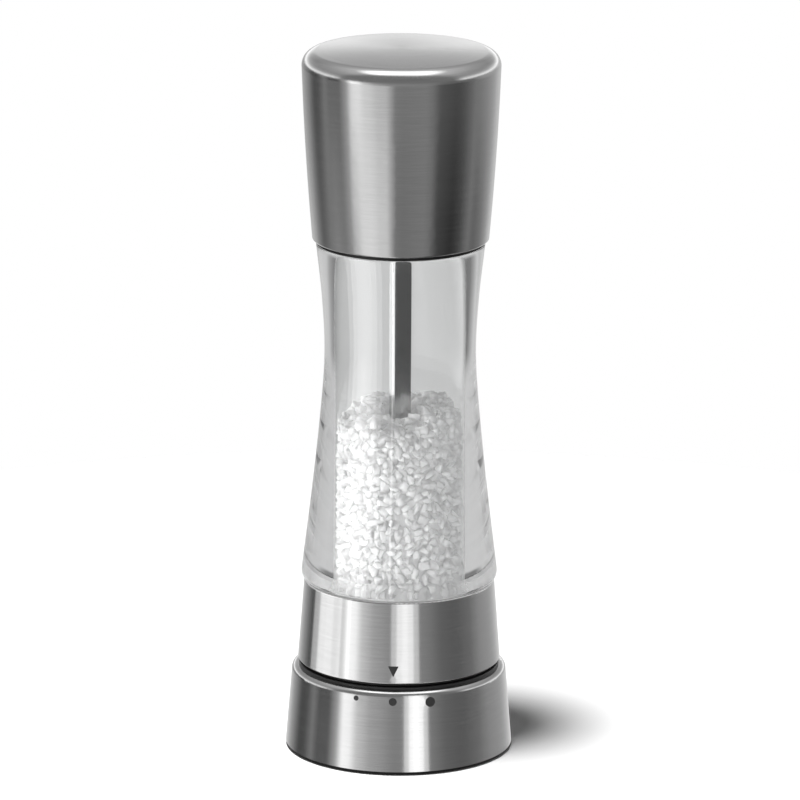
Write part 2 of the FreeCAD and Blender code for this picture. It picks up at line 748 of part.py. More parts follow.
def cap_core():
    """Plug that carries the square socket, with ribs up to the shell."""
    tube_radius = rod_half_diagonal + socket_wall
    inner_foot = cap_foot_radius - shell_wall
    roof = cap_top - cap_crown - shell_wall
    inside = lathe((0, cap_foot), (inner_foot, cap_foot),
                   (cap_head_radius - shell_wall - 0.4, roof - cap_rounding), (tube_radius + 1, roof), (0, roof))
    plate = ring(0, cap_foot_radius + past, cap_foot, cap_foot + core_floor)
    tube = ring(0, tube_radius, cap_foot, cap_top)
    band = ring(inner_foot - core_band_wall, cap_foot_radius + past, cap_foot, cap_foot + core_band_height)
    ribs = [radial_block(core_rib, tube_radius - overlap, cap_foot_radius + past, cap_foot,
                         cap_foot + core_rib_height, a) for a in range(0, 360, 60)]
    core = joined([plate, tube, band] + ribs).common(inside)
    socket = square_bar(socket_side, cap_foot - past, rod_top + 1.5)
    lead_in = Part.makeCone(rod_half_diagonal + 0.7, rod_half_diagonal - 0.4, 1.1, point(0, cap_foot))
    clip_room = square_bar(clip_side, clip_foot, clip_foot + clip_length)
    return core.cut([socket, lead_in, clip_room])


def socket_clip():
    """Split sleeve of spring steel in the socket, which grips the rod."""
    top = clip_foot + clip_length
    outside = square_bar(clip_side, clip_foot, top)
    inside = square_bar(clip_side - 2 * clip_wall, clip_foot - past, top + past)
    slit = radial_block(1.4, 0, clip_side, clip_foot - past, top + past, rod_turn + 90)
    return outside.cut([inside, slit])


def glide_ring():
    """Thin dark ring under the cap that slides on the hopper's rim."""
    outer = hopper_rim_radius + 0.05
    blank = ring(hopper_bore_rim + 0.9, outer, rim + glide_gap, cap_foot)
    return round_circle(blank, outer, rim + glide_gap, 0.15)


# ---------------------------------------------------------------- write every sub-part
PARTS = [
    base_shell, base_core, base_cover, foot_ring, slip_ring, grind_marks,
    lift_carrier, cam_pins, thrust_washer,
    collar_shell, pointer_mark, grinder_housing, snap_ring, detent_spring, outer_burr,
    burr_retainer, shaft_spider, spider_screws, hopper_seal, hopper_body, salt_fill,
    drive_rod, upper_clip, lower_clip, shaft_bush, spring_washer,
    rotor_hub, inner_burr, burr_spring,
    cap_shell, cap_core, socket_clip, glide_ring,
]

for make in PARTS:
    write(make.__name__, make())
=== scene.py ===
# %% [markdown]
# # A twist-top mill: its finishes, clear wall and light
# The design comes from the CAD frame: every turned shell, clip, burr and screw already has its true
# size and place.  This lesson adds what the frame can't hold: brushed steel that catches the light
# in bands, a clear hopper that bends it, and a loose heap of salt crystals.

# %% Load the frame
import math
import random

import bmesh
import bpy
from mathutils import Euler, Matrix, Vector


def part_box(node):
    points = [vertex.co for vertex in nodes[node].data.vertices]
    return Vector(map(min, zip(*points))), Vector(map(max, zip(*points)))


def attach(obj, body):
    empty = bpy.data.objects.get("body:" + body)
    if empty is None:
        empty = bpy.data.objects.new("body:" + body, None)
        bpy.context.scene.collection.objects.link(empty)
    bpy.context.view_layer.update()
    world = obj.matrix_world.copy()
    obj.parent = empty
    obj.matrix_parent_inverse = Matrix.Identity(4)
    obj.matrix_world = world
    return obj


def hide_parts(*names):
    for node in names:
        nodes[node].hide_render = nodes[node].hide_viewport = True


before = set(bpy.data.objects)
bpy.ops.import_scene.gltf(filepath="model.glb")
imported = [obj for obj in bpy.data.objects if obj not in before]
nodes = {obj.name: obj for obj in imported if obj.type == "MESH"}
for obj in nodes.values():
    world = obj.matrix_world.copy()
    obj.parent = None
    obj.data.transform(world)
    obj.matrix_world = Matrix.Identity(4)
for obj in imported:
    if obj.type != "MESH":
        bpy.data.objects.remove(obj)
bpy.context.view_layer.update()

MM = 0.001
TURN = 2 * math.pi

# %% [markdown]
# The camera stands well back and a little above, as for a catalogue picture.  A long lens keeps the
# sides of the mill nearly parallel, so the taper that shows is the taper it has.

# %% Camera
CAMERA_DISTANCE = 1.800
CAMERA_HEIGHT = 0.567
CAMERA_TURN = math.radians(3.1)
CAMERA_PITCH = math.radians(14.70)
CAMERA_ROLL = math.radians(0.26)
LENS_MM = 316.1
SENSOR_MM = 36.0


def add_camera():
    data = bpy.data.cameras.new("camera")
    data.lens = LENS_MM
    data.sensor_width = SENSOR_MM
    camera = bpy.data.objects.new("camera", data)
    place = Vector((CAMERA_DISTANCE * math.sin(CAMERA_TURN),
                    -CAMERA_DISTANCE * math.cos(CAMERA_TURN), CAMERA_HEIGHT))
    look = (Matrix.Rotation(CAMERA_TURN, 4, "Z") @ Matrix.Rotation(TURN / 4 - CAMERA_PITCH, 4, "X")
            @ Matrix.Rotation(CAMERA_ROLL, 4, "Z"))
    camera.matrix_world = Matrix.Translation(place) @ look
    bpy.context.scene.collection.objects.link(camera)
    bpy.context.scene.camera = camera
    return camera


camera = add_camera()
print("camera at", [round(v, 3) for v in camera.location])

# %% [markdown]
# Shader maths reads best as plain arithmetic.  `Wire` wraps a socket so that `0.3 + 0.1 * grain`
# adds the Math nodes itself, and `Recipe` adds every other node from one call.

# %% A socket that takes Python's operators
def plug(tree, slot, item):
    if isinstance(item, Wire):
        tree.links.new(item.socket, slot)
    else:
        slot.default_value = item


class Wire:
    def __init__(self, tree, socket):
        self.tree = tree
        self.socket = socket

    def math(self, operation, first, second=None):
        node = self.tree.nodes.new("ShaderNodeMath")
        node.operation = operation
        plug(self.tree, node.inputs[0], first)
        if second is not None:
            plug(self.tree, node.inputs[1], second)
        return Wire(self.tree, node.outputs[0])

    def __add__(self, other):
        return self.math("ADD", self, other)

    def __mul__(self, other):
        return self.math("MULTIPLY", self, other)

    def __sub__(self, other):
        return self.math("SUBTRACT", self, other)

    def __rsub__(self, other):
        return self.math("SUBTRACT", other, self)

    def __gt__(self, other):
        return self.math("GREATER_THAN", self, other)

    def sqrt(self):
        return self.math("SQRT", self)

    __radd__ = __add__
    __rmul__ = __mul__


class Recipe:
    def __init__(self, tree):
        self.tree = tree

    def node(self, kind, settings=None, inputs=None, output=0):
        node = self.tree.nodes.new(kind)
        for key, value in (settings or {}).items():
            if key == "stops":
                self.fill_ramp(node.color_ramp, value)
            else:
                setattr(node, key, value)
        for name, item in (inputs or {}).items():
            plug(self.tree, node.inputs[name], item)
        return Wire(self.tree, node.outputs[output])

    def fill_ramp(self, ramp, stops):
        while len(ramp.elements) < len(stops):
            ramp.elements.new(0.5)
        for element, (position, tone) in zip(ramp.elements, stops):
            element.position = position
            element.color = (tone, tone, tone, 1)

    def place(self):
        """x, y, z of the point on the piece, in metres."""
        point = self.node("ShaderNodeTexCoord", output=3)
        return [self.node("ShaderNodeSeparateXYZ", inputs={0: point}, output=i) for i in range(3)]

    def vector(self, x, y, z):
        return self.node("ShaderNodeCombineXYZ", inputs={0: x, 1: y, 2: z})

    def noise(self, vector, detail=3.0, scale=1.0):
        return self.node("ShaderNodeTexNoise", {"noise_dimensions": "3D"},
                         {"Vector": vector, "Scale": scale, "Detail": detail})

    def blend(self, share, first, second):
        """Mix of two colours by a share from 0 to 1."""
        return self.node("ShaderNodeMix", {"data_type": "RGBA"}, {0: share, 6: first, 7: second}, output=2)

    def step(self, value, low, high):
        """Smooth climb from 0 at low to 1 at high."""
        return self.node("ShaderNodeMapRange", {"interpolation_type": "SMOOTHSTEP"},
                         {"Value": value, "From Min": low, "From Max": high})


# %% [markdown]
# Brushed steel shows its surroundings stretched along the body of the mill, so the studio is what
# makes the bands.  The sky is drawn as a ring of soft boxes and dark flags by compass angle.  What
# a mirror-like surface sees low down differs from what it sees near the horizon, as in a real
# studio with a table.

# %% What the steel mirrors
# (degrees round the mill from the camera, + to the right, and how bright it is there)
TABLE_RING = [(-180, 0.95), (-158, 0.92), (-134, 0.36), (-120, 0.16), (-106, 0.22), (-92, 0.33),
              (-76, 0.25), (-66, 0.36), (-48, 0.94), (-38, 1.00), (-27, 0.86), (-18, 0.84), (-7, 0.22),
              (2, 0.20), (30, 0.24), (38, 0.20), (47, 0.06), (69, 0.02), (82, 0.06), (98, 0.22),
              (109, 0.11), (124, 0.16), (140, 0.34), (170, 0.95), (180, 0.95)]
WALL_RING = [(-180, 0.60), (-160, 0.42), (-138, 0.22), (-124, 0.05), (-112, 0.08), (-101, 0.23),
             (-92, 0.07), (-78, 0.09), (-67, 0.50), (-60, 1.48), (-52, 1.36), (-44, 0.76), (-30, 0.44),
             (-16, 0.34), (-4, 0.30), (29, 0.28), (37, 0.24), (50, 0.17), (74, 0.13), (92, 0.18),
             (108, 0.34), (135, 0.44), (155, 0.60), (180, 0.60)]
# (height on the sky, where 1 is straight up, and how bright it is there)
UPPER_SKY = [(0.04, 1.50), (0.12, 1.25), (0.19, 0.80), (0.26, 0.50), (0.34, 0.39), (0.46, 0.32),
             (0.66, 0.40), (0.88, 0.60), (0.95, 2.00)]
NEAR_SKY = 0.20                 # above and behind the camera
# each pair is where one part of the sky starts to give way to the next, and where it has done so
TABLE_TO_WALL = (-0.34, -0.21)
WALL_TO_UPPER = (0.0, 0.10)
NEAR_TO_FAR = (-0.42, -0.12)
RING_GAIN = 2.5                 # a ramp holds no tone over 1, so the tones are divided by this


def grey(tone):
    return (tone, tone, tone, 1)


def glow(recipe, colour, strength):
    return recipe.node("ShaderNodeBackground", inputs={"Color": colour, "Strength": strength})


def ring_light(recipe, angle, stops):
    return recipe.node("ShaderNodeValToRGB",
                       {"stops": [(0.5 + degrees / 360, tone / RING_GAIN) for degrees, tone in stops]},
                       {"Fac": angle})


def mirrored_glow(recipe, angle, y, z):
    table = ring_light(recipe, angle, TABLE_RING)
    wall = ring_light(recipe, angle, WALL_RING)
    ring = recipe.blend(recipe.step(z, *TABLE_TO_WALL), table, wall)
    upper = recipe.node("ShaderNodeValToRGB",
                        {"stops": [(height, tone / RING_GAIN) for height, tone in UPPER_SKY]}, {"Fac": z})
    upper = recipe.blend(recipe.step(y, *NEAR_TO_FAR), grey(NEAR_SKY / RING_GAIN), upper)
    ring = recipe.blend(recipe.step(z, *WALL_TO_UPPER), ring, upper)
    return glow(recipe, ring, RING_GAIN)


print("studio ring:", len(TABLE_RING), "and", len(WALL_RING), "stops")

# %% [markdown]
# Clear walls bend the view, so what shows through the hopper needs its own surroundings: dark flags
# stand behind it to draw its edges.  The salt is lit from the left by a large window, and the flat
# sides of the rod mirror one bright side and one dark side.

# %% What shows through the hopper
THROUGH_RING = [(-180, 0.60), (-166, 0.62), (-150, 0.58), (-140, 0.36), (-128, 0.22), (0, 0.30),
                (135, 0.18), (148, 0.40), (158, 0.62), (168, 0.50), (180, 0.60)]
THROUGH_TABLE = 0.60
THROUGH_TABLE_TO_WALL = (-0.34, -0.20)
SALT_LIGHT = 3.6
SALT_RIGHT = 0.21               # share of the salt's light that comes from the right
SALT_ABOVE = 0.16               # and from above
SALT_LEFT_TO_RIGHT = (-0.8, 0.7)
SALT_SIDE_TO_ABOVE = (0.15, 0.7)
ROD_LIGHT = 1.6
ROD_RIGHT = 0.07
ROD_LEFT_TO_RIGHT = (-0.5, -0.1)


def through_glow(recipe, angle, z):
    flagged = ring_light(recipe, angle, THROUGH_RING)
    low = grey(THROUGH_TABLE / RING_GAIN)
    return glow(recipe, recipe.blend(recipe.step(z, *THROUGH_TABLE_TO_WALL), low, flagged), RING_GAIN)


def salt_glow(recipe, x, z):
    sides = recipe.blend(recipe.step(x, *SALT_LEFT_TO_RIGHT), grey(1.0), grey(SALT_RIGHT))
    filling = recipe.blend(recipe.step(z, *SALT_SIDE_TO_ABOVE), sides, grey(SALT_ABOVE))
    return glow(recipe, filling, SALT_LIGHT)


def rod_glow(recipe, x):
    sides = recipe.blend(recipe.step(x, *ROD_LEFT_TO_RIGHT), grey(1.0), grey(ROD_RIGHT))
    return glow(recipe, sides, ROD_LIGHT)


# %% [markdown]
# The world picks one of these by the kind of ray that asks.  A ray that has met the salt has a
# diffuse bounce behind it, and one that has met the rod has passed the hopper's wall more than
# three times and has a glossy bounce behind it.  Plain surfaces get only faint even light, and the
# camera sees white.

# %% The studio
EVEN_LIGHT = 0.07
SOME_BOUNCE = 0.5
THREE_WALLS = 3.5
BOUNCES = 24


def light_path(recipe, name):
    return recipe.node("ShaderNodeLightPath", output=name)


def pick(recipe, share, first, second):
    return recipe.node("ShaderNodeMixShader", inputs={0: share, 1: first, 2: second})


def build_world():
    world = bpy.data.worlds.new("studio")
    bpy.context.scene.world = world
    world.use_nodes = True
    tree = world.node_tree
    recipe = Recipe(tree)
    toward = recipe.node("ShaderNodeTexCoord", output=0)
    x, y, z = [recipe.node("ShaderNodeSeparateXYZ", inputs={0: toward}, output=i) for i in range(3)]
    angle = x.math("ARCTAN2", x, 0 - y)
    angle = 0.5 + (angle - CAMERA_TURN) * (1 / TURN)
    onto_salt = light_path(recipe, "Diffuse Depth") > SOME_BOUNCE
    through_walls = light_path(recipe, "Transmission Depth") > THREE_WALLS
    onto_rod = (light_path(recipe, "Glossy Depth") > SOME_BOUNCE) * through_walls * (1 - onto_salt)
    inside = pick(recipe, onto_salt, through_glow(recipe, angle, z), salt_glow(recipe, x, z))
    inside = pick(recipe, onto_rod, inside, rod_glow(recipe, x))
    even = glow(recipe, grey(1.0), EVEN_LIGHT)
    outside = pick(recipe, light_path(recipe, "Is Glossy Ray"), even, mirrored_glow(recipe, angle, y, z))
    light = pick(recipe, light_path(recipe, "Is Transmission Ray"), outside, inside)
    light = pick(recipe, light_path(recipe, "Is Camera Ray"), light, glow(recipe, grey(1.0), 1.0))
    output = next(n for n in tree.nodes if n.type == "OUTPUT_WORLD")
    tree.links.new(light.socket, output.inputs["Surface"])


build_world()
bpy.context.scene.view_settings.view_transform = "Standard"
for limit in ("max_bounces", "transmission_bounces", "glossy_bounces"):
    setattr(bpy.context.scene.cycles, limit, BOUNCES)
print("studio nodes:", len(bpy.context.scene.world.node_tree.nodes))

# %% [markdown]
# The floor is a pale disc.  It is lit from the upper left by one large soft box, so the mill's
# shadow falls to the right and fades quickly.  Mirror-like surfaces look past the floor at the
# studio ring, which stands for the white table there.

# %% Floor and key light
FLOOR_RADIUS = 0.30
FLOOR_STEPS = 96
PAPER_TONE = 0.86
KEY_SIZE = 0.20
KEY_POWER = 23.2
KEY_PLACE = (-0.115, -0.108, 1.28)
KEY_TARGET = (0, 0, 0.05)


def add_floor():
    mesh = bpy.data.meshes.new("floor")
    bm = bmesh.new()
    bmesh.ops.create_circle(bm, cap_ends=True, segments=FLOOR_STEPS, radius=FLOOR_RADIUS)
    bm.to_mesh(mesh)
    bm.free()
    floor = bpy.data.objects.new("floor", mesh)
    bpy.context.scene.collection.objects.link(floor)
    material = bpy.data.materials.new("floor_paper")
    material.use_nodes = True
    paper = material.node_tree.nodes["Principled BSDF"]
    paper.inputs["Base Color"].default_value = grey(PAPER_TONE)
    paper.inputs["Roughness"].default_value = 0.9
    paper.inputs["Specular IOR Level"].default_value = 0.1
    mesh.materials.append(material)
    floor.visible_glossy = False
    floor.visible_transmission = False
    floor.visible_shadow = False


def aimed(name, data, place, target):
    lamp = bpy.data.objects.new(name, data)
    aim = Vector(target) - Vector(place)
    lamp.matrix_world = Matrix.Translation(place) @ aim.to_track_quat("-Z", "Y").to_matrix().to_4x4()
    bpy.context.scene.collection.objects.link(lamp)
    lamp.visible_camera = False
    lamp.visible_transmission = False
    return lamp


def add_key_light():
    data = bpy.data.lights.new("key_light", "AREA")
    data.shape = "DISK"
    data.size = KEY_SIZE
    data.energy = KEY_POWER
    lamp = aimed("key_light", data, KEY_PLACE, KEY_TARGET)
    lamp.visible_glossy = False


add_floor()
add_key_light()
print("floor", 2 * FLOOR_RADIUS, "m wide, key light", KEY_PLACE[2], "m up")

# %% [markdown]
# Tall strip lights make the long highlights on the collar, the base and the hopper.  Each is linked
# to the piece that it is meant for, so it doesn't spoil the bands on the others.  They reach below
# the table's height because a surface seen from above mirrors what is low in front of it.  A single
# lamp would give a highlight with hard sides, so each strip is a row of slats that dims outwards.

# %% Strip lights
STRIP_DISTANCE = 1.0
STRIP_LOW = -0.9
STRIP_HIGH = 0.5
SLAT_FADE = 0.7                 # 0 gives an even strip, and more gives softer sides


def add_strip(name, piece, degrees, width_degrees, glow):
    """Upright strip at an angle round the mill from the camera, seen only in one piece's gloss."""
    data = bpy.data.lights.new(name, "AREA")
    data.shape = "RECTANGLE"
    data.size = 2 * STRIP_DISTANCE * math.tan(math.radians(width_degrees / 2))
    data.size_y = STRIP_HIGH - STRIP_LOW
    data.energy = glow * math.pi * data.size * data.size_y
    angle = CAMERA_TURN + math.radians(degrees)
    middle = (STRIP_LOW + STRIP_HIGH) / 2
    place = (STRIP_DISTANCE * math.sin(angle), -STRIP_DISTANCE * math.cos(angle), middle)
    lamp = aimed(name, data, place, (0, 0, middle))
    lamp.visible_diffuse = False
    group = bpy.data.collections.new(name + "_only")
    group.objects.link(piece)
    lamp.light_linking.receiver_collection = group


def add_soft_strip(name, piece, degrees, width_degrees, glow, slats):
    """Slats side by side, brightest in the middle, so that the highlight fades towards its sides."""
    for slat in range(slats):
        share = (slat + 0.5) / slats
        add_strip("%s_%d" % (name, slat + 1), piece, degrees + (share - 0.5) * width_degrees,
                  width_degrees / slats, glow * math.sin(math.pi * share) ** SLAT_FADE)


add_soft_strip("collar_left_strip", nodes["collar_shell"], degrees=-89, width_degrees=60, glow=1.08, slats=5)
add_soft_strip("collar_front_strip", nodes["collar_shell"], degrees=7, width_degrees=32, glow=1.02, slats=5)
add_soft_strip("base_front_strip", nodes["base_shell"], degrees=18, width_degrees=25, glow=1.30, slats=5)
print("strip lamps:", sum(lamp.type == "AREA" for lamp in bpy.data.lights) - 1)

# %% [markdown]
# A finish is one Principled BSDF with a few patterns feeding its colour, roughness and bump.  The
# helper below starts one, sets the even values on its own sockets, and hands back the recipe.
# Pieces that daylight reaches only through the clear hopper get a faint painted glow from the last helper
# below: white emission that stands in for light, though they are no lamps.

# %% Start a finish
def new_finish(name, even):
    material = bpy.data.materials.new(name)
    material.use_nodes = True
    recipe = Recipe(material.node_tree)
    shader = material.node_tree.nodes["Principled BSDF"]
    for socket, value in even.items():
        shader.inputs[socket].default_value = value
    return material, recipe, shader


def feed(recipe, shader, **links):
    for socket, item in links.items():
        plug(recipe.tree, shader.inputs[socket.replace("_", " ")], item)


def bump(recipe, height, strength, depth):
    return recipe.node("ShaderNodeBump", inputs={"Strength": strength, "Distance": depth, "Height": height})


# Painted glow: white emission that stands in for light the piece gets too little of, though it is no lamp.
def painted_glow(material, strength):
    shader = material.node_tree.nodes["Principled BSDF"]
    shader.inputs["Emission Color"].default_value = grey(1.0)
    shader.inputs["Emission Strength"].default_value = strength


# %% [markdown]
# The shells are spun and then brushed while they turn, so every scratch runs round the axis.  On
# the sides a scratch keeps its height, and on the domed top it keeps its radius: `height + radius`
# is constant along both, so one pattern serves the whole skin.  The shader's own anisotropy
# stretches highlights across the scratches, with no tangent needed on a turned part.

# %% Brushed steel
STEEL_TONE = 0.70
TONE_SPREAD = 0.12
STEEL_ROUGHNESS = 0.16
SCRATCHES_PER_M = 5200
HAIRS_PER_M = 11000
SCRATCH_DEPTH = 0.02 * MM


def brushed_steel():
    material, recipe, shader = new_finish("brushed_steel", {"Metallic": 1.0, "Anisotropic": 0.85,
                                                             "Anisotropic Rotation": 0.25})
    x, y, z = recipe.place()
    radius = (x * x + y * y).sqrt()
    across = z + radius
    scratch = recipe.noise(recipe.vector(x * 90, y * 90, across * SCRATCHES_PER_M), detail=4)
    hair = recipe.noise(recipe.vector(x * 220, y * 220, across * HAIRS_PER_M), detail=2)
    cloud = recipe.noise(recipe.vector(x * 60, y * 60, z * 90), detail=2)
    colour = recipe.blend(scratch * 0.6 + hair * 0.4,
                          grey(STEEL_TONE - TONE_SPREAD), grey(STEEL_TONE + TONE_SPREAD))
    feed(recipe, shader, Base_Color=colour,
         Roughness=STEEL_ROUGHNESS + 0.07 * (scratch - 0.5) + 0.05 * (cloud - 0.5),
         Normal=bump(recipe, scratch + 0.5 * hair, 0.09, SCRATCH_DEPTH))
    return material


steel = brushed_steel()
print("brushed steel: scratches about", round(1000 / SCRATCHES_PER_M, 2), "mm apart")

# %% [markdown]
# Smaller metal parts are drawn or rolled rather than brushed.  The rod was drawn through a die, so
# its marks run along its length, and the spring steel pieces only carry a faint mottling.

# %% Drawn rod and spring steel
def drawn_rod():
    material, recipe, shader = new_finish("drawn_rod", {"Metallic": 1.0})
    x, y, z = recipe.place()
    line = recipe.noise(recipe.vector(x * 4200, y * 4200, z * 60), detail=3)
    dull = recipe.noise(recipe.vector(x * 300, y * 300, z * 120), detail=2)
    feed(recipe, shader, Base_Color=recipe.blend(line, grey(0.50), grey(0.62)),
         Roughness=0.20 + 0.10 * (dull - 0.5), Normal=bump(recipe, line, 0.12, SCRATCH_DEPTH))
    return material


def spring_steel():
    material, recipe, shader = new_finish("spring_steel", {"Metallic": 1.0})
    x, y, z = recipe.place()
    mottle = recipe.noise(recipe.vector(x, y, z), detail=4, scale=900)
    feed(recipe, shader, Base_Color=recipe.blend(mottle, grey(0.42), grey(0.60)),
         Roughness=0.24 + 0.16 * mottle)
    return material


rod_metal = drawn_rod()
spring_metal = spring_steel()
print("metal finishes:", steel.name, rod_metal.name, spring_metal.name)

# %% [markdown]
# Moulded parts have the fine spark-eroded grain of their tool.  One function makes the black and
# the grey mouldings, the rubber, the ink, the silicone and the frosted faces of the hopper, each
# with its own tone, gloss and grain size.

# %% Mouldings, rubber, ink and ceramic
MOULDED_SPECULAR = 0.42
FINE_GRAIN = 3800               # grains per metre on a moulded face
HOUSING_GLOSS = 0.45
CUP_RISE = 3.2 * MM             # the housing turns pale this far above the slip ring
CUP_BORDER = 0.4 * MM


def moulding(name, tone, gloss, grain_per_m, depth):
    material, recipe, shader = new_finish(name, {"Specular IOR Level": MOULDED_SPECULAR})
    x, y, z = recipe.place()
    grain = recipe.noise(recipe.vector(x, y, z), detail=3, scale=grain_per_m)
    flow = recipe.noise(recipe.vector(x, y, z), detail=2, scale=70)
    feed(recipe, shader, Base_Color=recipe.blend(flow, grey(tone * 0.8), grey(tone * 1.25)),
         Roughness=gloss + 0.14 * (grain - 0.5), Normal=bump(recipe, grain, 0.35, depth))
    return material


def burr_ceramic():
    material, recipe, shader = new_finish("burr_ceramic", {"Subsurface Weight": 0.08,
                                                           "Subsurface Radius": (0.002, 0.0018, 0.0014)})
    x, y, z = recipe.place()
    grit = recipe.noise(recipe.vector(x, y, z), detail=5, scale=2600)
    fleck = recipe.step(recipe.noise(recipe.vector(x, y, z), detail=2, scale=700), 0.66, 0.74)
    feed(recipe, shader, Base_Color=recipe.blend(fleck, (0.83, 0.80, 0.73, 1), (0.60, 0.57, 0.50, 1)),
         Roughness=0.48 + 0.2 * (grit - 0.5), Normal=bump(recipe, grit, 0.4, 0.04 * MM))
    return material


def shaded_flange_moulding(name, flange_shade_tone, high_tone, border):
    """A moulding whose cup is pale and whose flange and stem are dark, the dark painted as shade for the
    groove under the collar.
    """
    material, recipe, shader = new_finish(name, {"Specular IOR Level": MOULDED_SPECULAR})
    x, y, z = recipe.place()
    grain = recipe.noise(recipe.vector(x, y, z), detail=3, scale=FINE_GRAIN)
    upper = recipe.step(z, border, border + CUP_BORDER)
    feed(recipe, shader, Base_Color=recipe.blend(upper, grey(flange_shade_tone), grey(high_tone)),
         Roughness=HOUSING_GLOSS + 0.14 * (grain - 0.5), Normal=bump(recipe, grain, 0.35, 0.03 * MM))
    return material


black_plastic = moulding("black_plastic", 0.016, 0.42, FINE_GRAIN, 0.03 * MM)
grey_plastic = moulding("grey_plastic", 0.16, 0.46, FINE_GRAIN, 0.03 * MM)
slip_plastic = moulding("slip_plastic", 0.07, 0.38, FINE_GRAIN, 0.02 * MM)
rubber = moulding("black_rubber", 0.012, 0.68, 2400, 0.05 * MM)
ink = moulding("marking_ink", 0.045, 0.40, 5200, 0.01 * MM)
silicone = moulding("pale_silicone", 0.68, 0.40, 1800, 0.02 * MM)
frosted = moulding("frosted_acrylic", 0.78, 0.50, 2600, 0.02 * MM)
# Painted glow on the silicone and the frosted faces, which sit inside the collar where little light reaches.
painted_glow(silicone, 0.03)
painted_glow(frosted, 0.26)
slip_ring_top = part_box("slip_ring")[1][2]
# The housing is pale, with its flange and stem painted dark as the shade in the groove under the collar.
housing_painted_groove_shade = shaded_flange_moulding("housing_groove_shade", 0.016, 0.62, slip_ring_top + CUP_RISE)
ceramic = burr_ceramic()
print("housing turns pale at", round((slip_ring_top + CUP_RISE) / MM, 1), "mm")

# %% [markdown]
# Clear acrylic is a solid with a bore, and its refraction makes the pale side bands and the bright
# rim.  Flat facets would show at once in it, so the hopper is spun again here with a fine step from
# the same outline that the frame uses, and a faint haze of handling marks is all that dulls it.

# %% Clear acrylic
def clear_acrylic():
    material, recipe, shader = new_finish("clear_acrylic", {"IOR": 1.49, "Transmission Weight": 1.0})
    x, y, z = recipe.place()
    haze = recipe.step(recipe.noise(recipe.vector(x, y, z), detail=5, scale=160), 0.52, 0.80)
    feed(recipe, shader, Base_Color=recipe.blend(haze, (0.985, 0.99, 0.99, 1), (0.965, 0.97, 0.97, 1)),
         Roughness=0.004 + 0.012 * haze)
    return material


acrylic = clear_acrylic()

# %% Spin an outline into a solid
SPUN_CREASE = math.radians(35)


def smooth_points(points, per_span):
    """Smooth curve that passes through every point, for an outline that has no corners."""
    padded = [points[0] * 2 - points[1]] + points + [points[-1] * 2 - points[-2]]
    out = []
    for i in range(1, len(padded) - 2):
        a, b, c, d = padded[i - 1:i + 3]
        for k in range(per_span):
            t = k / per_span
            out.append(0.5 * ((2 * b) + (c - a) * t + (2 * a - 5 * b + 4 * c - d) * t ** 2
                              + (3 * b - a - 3 * c + d) * t ** 3))
    return out + [points[-1]]


def spun(name, outline, steps, body, material):
    """Closed outline of (radius, height) points turned about the axis."""
    bm = bmesh.new()
    verts = [bm.verts.new((radius, 0, height)) for radius, height in outline]
    edges = [bm.edges.new((verts[i - 1], verts[i])) for i in range(len(verts))]
    bmesh.ops.spin(bm, geom=verts + edges, cent=(0, 0, 0), axis=(0, 0, 1), angle=TURN, steps=steps,
                   use_merge=True)
    bmesh.ops.remove_doubles(bm, verts=bm.verts, dist=1e-6)
    bmesh.ops.recalc_face_normals(bm, faces=bm.faces)
    for face in bm.faces:
        face.smooth = True
    mesh = bpy.data.meshes.new(name)
    bm.to_mesh(mesh)
    bm.free()
    mesh.set_sharp_from_angle(angle=SPUN_CREASE)
    mesh.materials.append(material)
    piece = bpy.data.objects.new(name, mesh)
    bpy.context.scene.collection.objects.link(piece)
    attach(piece, body)
    print(name, len(mesh.polygons), "faces")
    return piece


# %% Hopper
hopper_low, hopper_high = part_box("hopper_body")
HOPPER_FOOT = hopper_low[2]
HOPPER_RIM = hopper_high[2]
HOPPER_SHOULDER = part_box("hopper_seal")[1][2]
BORE_FOOT = 18.0 * MM
BORE_RIM = 17.1 * MM
NECK_RADIUS = 21.4 * MM
LIP_RADIUS = 26.05 * MM
LIP_RISE = 1.9 * MM
WAIST_RADIUS = 20.05 * MM
WAIST_RISE = 60.6 * MM
RIM_RADIUS = 22.3 * MM
EDGE_ROUNDING = 0.35 * MM
# (share of the lip's overhang past the waist, share of the waist's rise) where the side flares
FLARE = [(0.575, 0.372), (1.27 / 6, 0.706)]
UPPER_HOLLOW = 0.47 * MM        # the side above the waist bows in this far from straight
# (inset from the widest radius, rise above the shoulder) round the foot of the lip
LIP_ROUNDING = [(0.75 * MM, 0.0), (0.42 * MM, 0.18 * MM), (0.18 * MM, 0.6 * MM), (0.04 * MM, 1.2 * MM)]
SIDE_STEPS = 14
BORE_STEPS = 12
HOPPER_STEPS = 192


def rounded_corner(centre, radius, start, end, count=5):
    """Points on a quarter turn about a centre, from one angle to another in degrees."""
    angles = [math.radians(start + (end - start) * i / count) for i in range(count + 1)]
    return [(centre[0] + radius * math.cos(a), centre[1] + radius * math.sin(a)) for a in angles]


